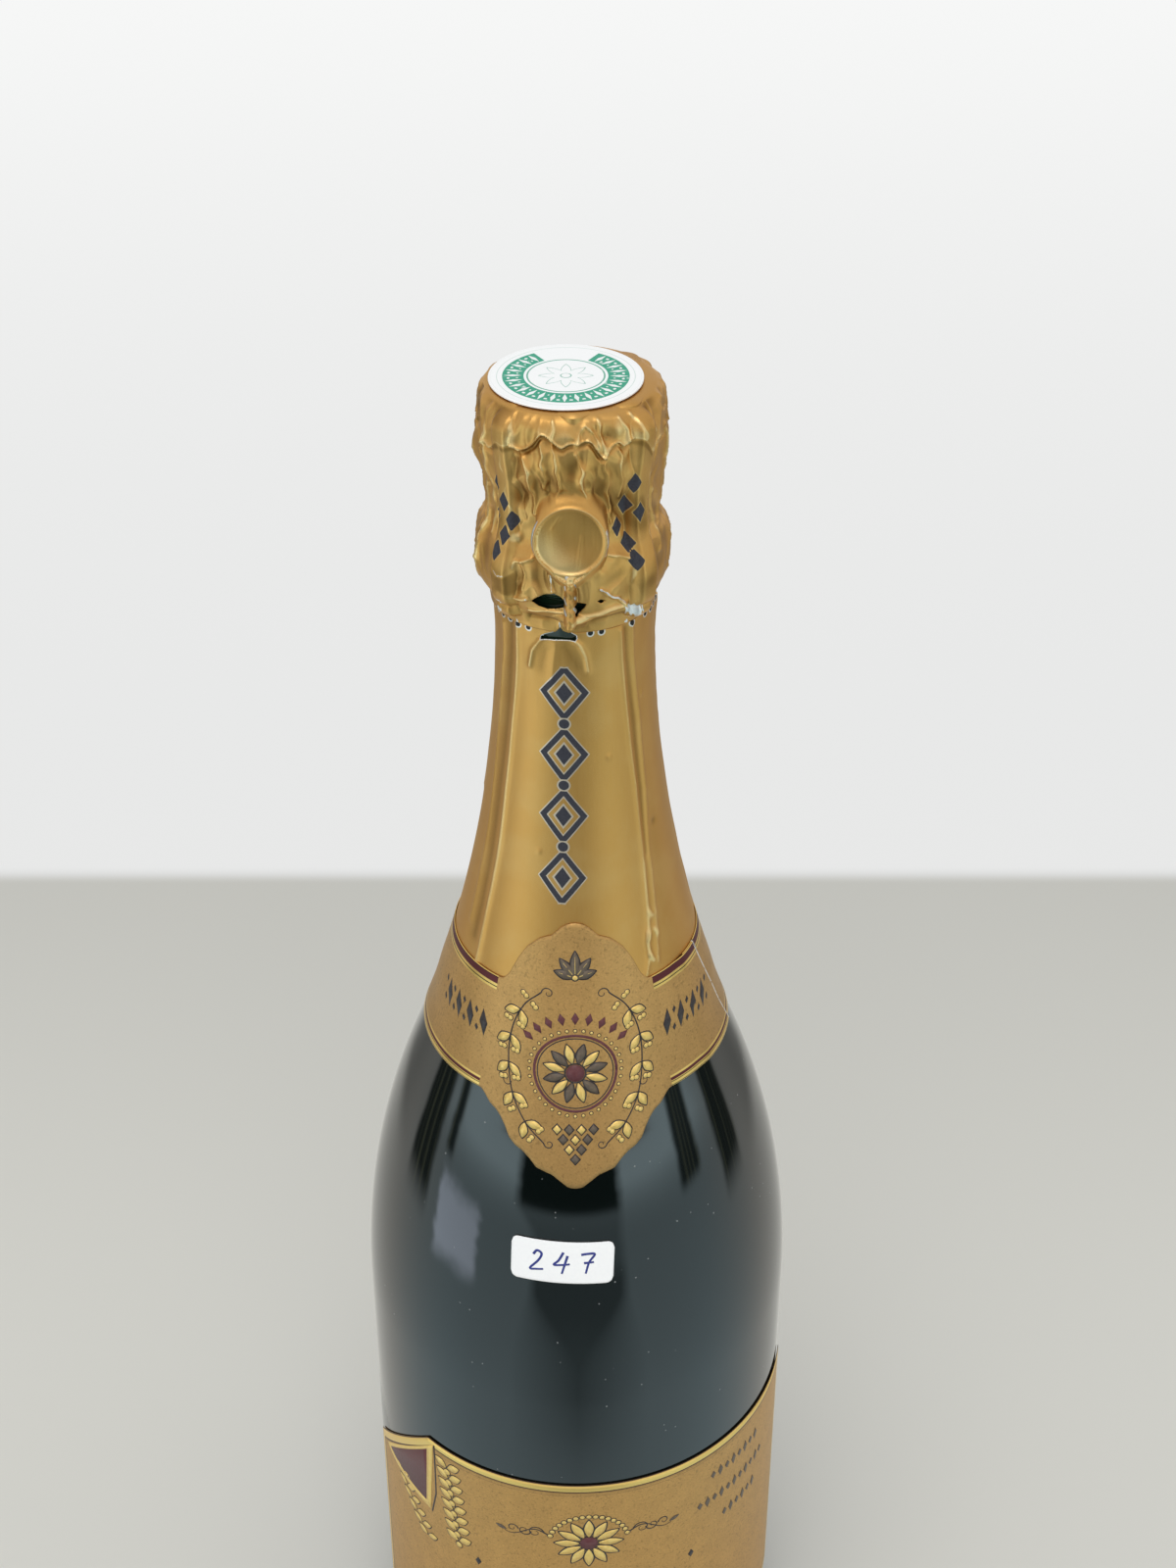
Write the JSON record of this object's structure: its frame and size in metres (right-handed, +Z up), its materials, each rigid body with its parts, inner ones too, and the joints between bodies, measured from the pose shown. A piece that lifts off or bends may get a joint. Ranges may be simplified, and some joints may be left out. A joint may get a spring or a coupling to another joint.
{
  "type": "sparkling wine bottle",
  "caption": "Full, sealed sparkling wine bottle with a corked neck, wire cage, foil hood and sleeve, paper collar and front label.",
  "frame": {"origin": "centre of the base, on the plane that the bearing ring stands on", "axes": "+Z up along the bottle's axis, -Y towards the front label, +X to the label's right"},
  "size_m": [0.0885, 0.089, 0.3194],
  "materials": {
    "green_glass": "thick dark green glass, glossy",
    "wine": "pale gold sparkling wine, stands in as a solid",
    "sleeve_foil": "satin gold foil",
    "collar_paper": "tan gold speckled paper",
    "label_paper": "tan gold speckled paper",
    "sticker_paper": "white gummed paper",
    "agglomerate_cork": "agglomerated cork",
    "natural_cork_upper": "natural cork",
    "natural_cork_lower": "natural cork, stained by wine",
    "crown_cap_steel": "stamped tinned steel",
    "cage_wire": "bright galvanised wire",
    "belt_wire": "bright galvanised wire",
    "loop_wire": "bright galvanised wire",
    "hood_foil": "crumpled satin gold foil",
    "top_card": "white card with a green ring"
  },
  "bodies": {
    "bottle": {"glass_bottle": "green_glass", "wine": "wine", "foil_sleeve": "sleeve_foil", "collar_label": "collar_paper", "front_label": "label_paper", "lot_sticker": "sticker_paper"},
    "cork": {"cork_body": "agglomerate_cork", "cork_disc_upper": "natural_cork_upper", "cork_disc_lower": "natural_cork_lower"},
    "muselet": {"crown_cap": "crown_cap_steel", "cage_frame": "cage_wire", "belt_wire": "belt_wire"},
    "hood": {"foil_hood": "hood_foil", "top_disc": "top_card"},
    "twist_loop": {"wire_loop": "loop_wire"}
  },
  "joints": [
    {"name": "cork_pull", "type": "slide", "parent": "bottle", "child": "cork", "axis": [0, 0, 1], "range_m": [0, 0.035]},
    {"name": "muselet_lift", "type": "slide", "parent": "cork", "child": "muselet", "axis": [0, 0, 1], "range_m": [0, 0.045], "deforming": ["cage_frame", "belt_wire"]},
    {"name": "hood_lift", "type": "slide", "parent": "muselet", "child": "hood", "axis": [0, 0, 1], "range_m": [0, 0.05], "deforming": ["foil_hood"]},
    {"name": "loop_fold", "type": "hinge", "parent": "muselet", "child": "twist_loop", "pos_m": [0, -0.01752, 0.283], "axis": [1, 0, 0], "range_deg": [0, 100]}
  ],
  "couplings": [
    {"joint": "loop_fold", "follows": "hood_lift", "rad_per_m": 34.9}
  ]
}
